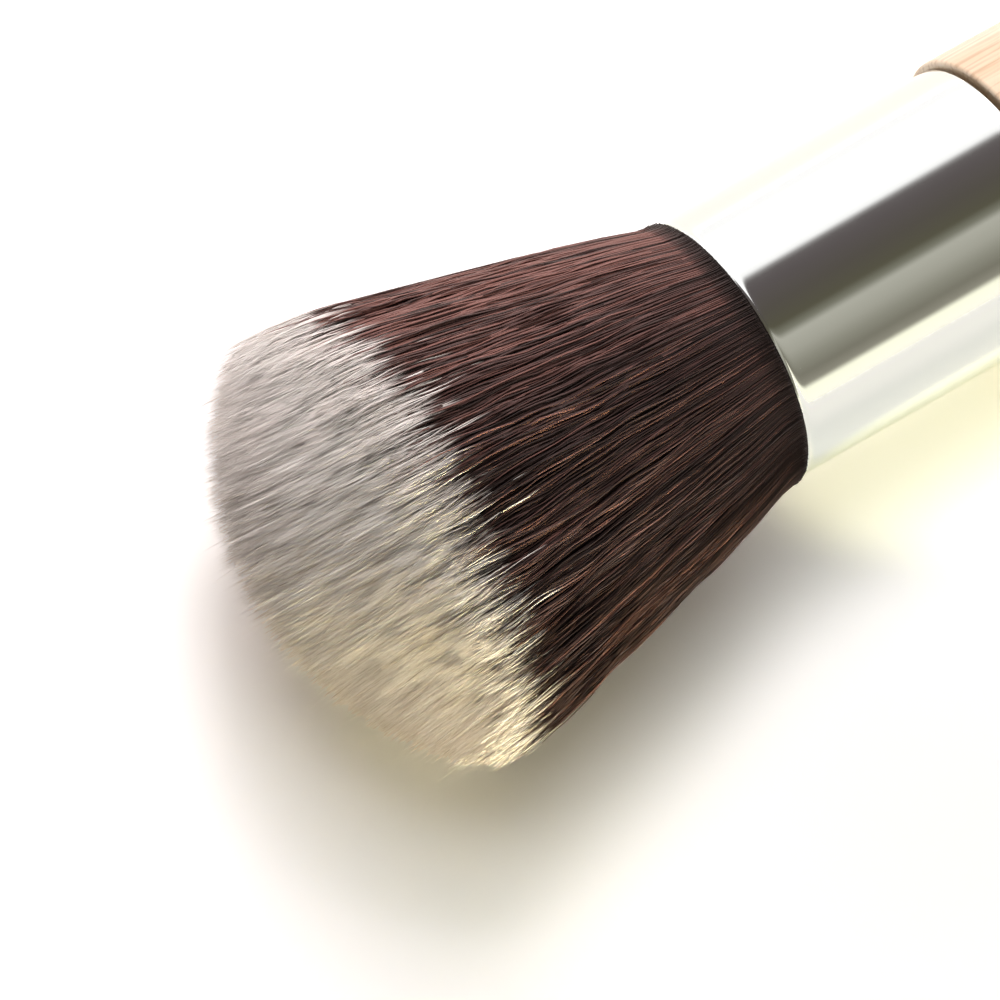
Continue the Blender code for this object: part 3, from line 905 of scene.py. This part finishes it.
def lamp(name, place, aim, size, power, colour):
    light = bpy.data.lights.new(name, "AREA")
    light.shape = "RECTANGLE"
    light.size, light.size_y = size
    return place_light(light, place, aim, power, colour)


def spot(name, place, aim, width, soft, power, colour, stretch):
    """A lamp that lights a soft-edged patch only, round or stretched sideways."""
    light = bpy.data.lights.new(name, "SPOT")
    light.spot_size = math.radians(width)
    light.spot_blend = SPOT_BLEND
    light.shadow_soft_size = soft
    made = place_light(light, place, aim, power, colour)
    made.scale = (stretch, 1, 1)
    return made


def screen_material():
    """Bands of light and shade over the screen, by the angle off the zenith."""
    made, nodes, links, shader = new_material("screen_bands")
    share, _ = map_parts(nodes, links, "Angle")
    stops = [((angle + SCREEN_END) / (2 * SCREEN_END), colour) for angle, colour in SCREEN_BANDS]
    set_finish(links, shader, {
        "Base Color": (0, 0, 0),
        "Specular IOR Level": 0,
        "Emission Color": ramp(nodes, links, share, stops),
        "Emission Strength": SCREEN_STRENGTH,
    })
    return made


def build_screen():
    """A half tunnel over the brush that is seen in the polished metal only."""
    places, faces, shares = [], [], []
    for step in range(SCREEN_STEPS + 1):
        angle = math.radians(SCREEN_END * (2 * step / SCREEN_STEPS - 1))
        across, up = -SCREEN_RADIUS * math.sin(angle), SCREEN_RADIUS * math.cos(angle)
        places += [(-SCREEN_LENGTH / 2, across, up), (SCREEN_LENGTH / 2, across, up)]
    for step in range(SCREEN_STEPS):
        faces.append((2 * step, 2 * step + 1, 2 * step + 3, 2 * step + 2))
        here, there = step / SCREEN_STEPS, (step + 1) / SCREEN_STEPS
        shares += [(here, 0), (here, 0), (there, 0), (there, 0)]
    mesh = bpy.data.meshes.new("screen")
    mesh.from_pydata(places, [], faces)
    add_map(mesh, "Angle", np.array(shares))
    mesh.materials.append(screen_material())
    made = add_object("screen", mesh)
    made.location = (0, 0, MOUTH.z)
    for ray in ("camera", "diffuse", "transmission", "volume_scatter", "shadow"):
        setattr(made, "visible_" + ray, False)
    return made


def build_world():
    """A faint cool surround as light, and plain white where the camera sees past the floor."""
    world = bpy.data.worlds.new("studio")
    bpy.context.scene.world = world
    world.use_nodes = True
    nodes, links = world.node_tree.nodes, world.node_tree.links
    surround = nodes["Background"]
    set_finish(links, surround, {"Color": WORLD_TONE, "Strength": WORLD_STRENGTH})
    backdrop = nodes.new("ShaderNodeBackground")
    set_finish(links, backdrop, {"Color": (1, 1, 1), "Strength": 1})
    ray = nodes.new("ShaderNodeLightPath")
    chosen = nodes.new("ShaderNodeMixShader")
    links.new(ray.outputs["Is Camera Ray"], chosen.inputs[0])
    links.new(surround.outputs[0], chosen.inputs[1])
    links.new(backdrop.outputs[0], chosen.inputs[2])
    links.new(chosen.outputs[0], nodes["World Output"].inputs["Surface"])


def build_camera():
    camera = bpy.data.cameras.new("camera")
    camera.lens = LENS
    camera.sensor_width = SENSOR
    camera.clip_start, camera.clip_end = CLIP_START, CLIP_END
    eye = add_object("camera", camera)
    eye.location = EYE
    eye.rotation_euler = Vector(LOOK).to_track_quat("-Z", "Y").to_euler()
    bpy.context.scene.camera = eye


floor = build_floor()
lamps = [*(lamp(*row) for row in AREA_LAMPS), *(spot(*row) for row in SPOT_LAMPS)]
screen = build_screen()
build_world()
build_camera()
bpy.context.scene.view_settings.view_transform = "Standard"
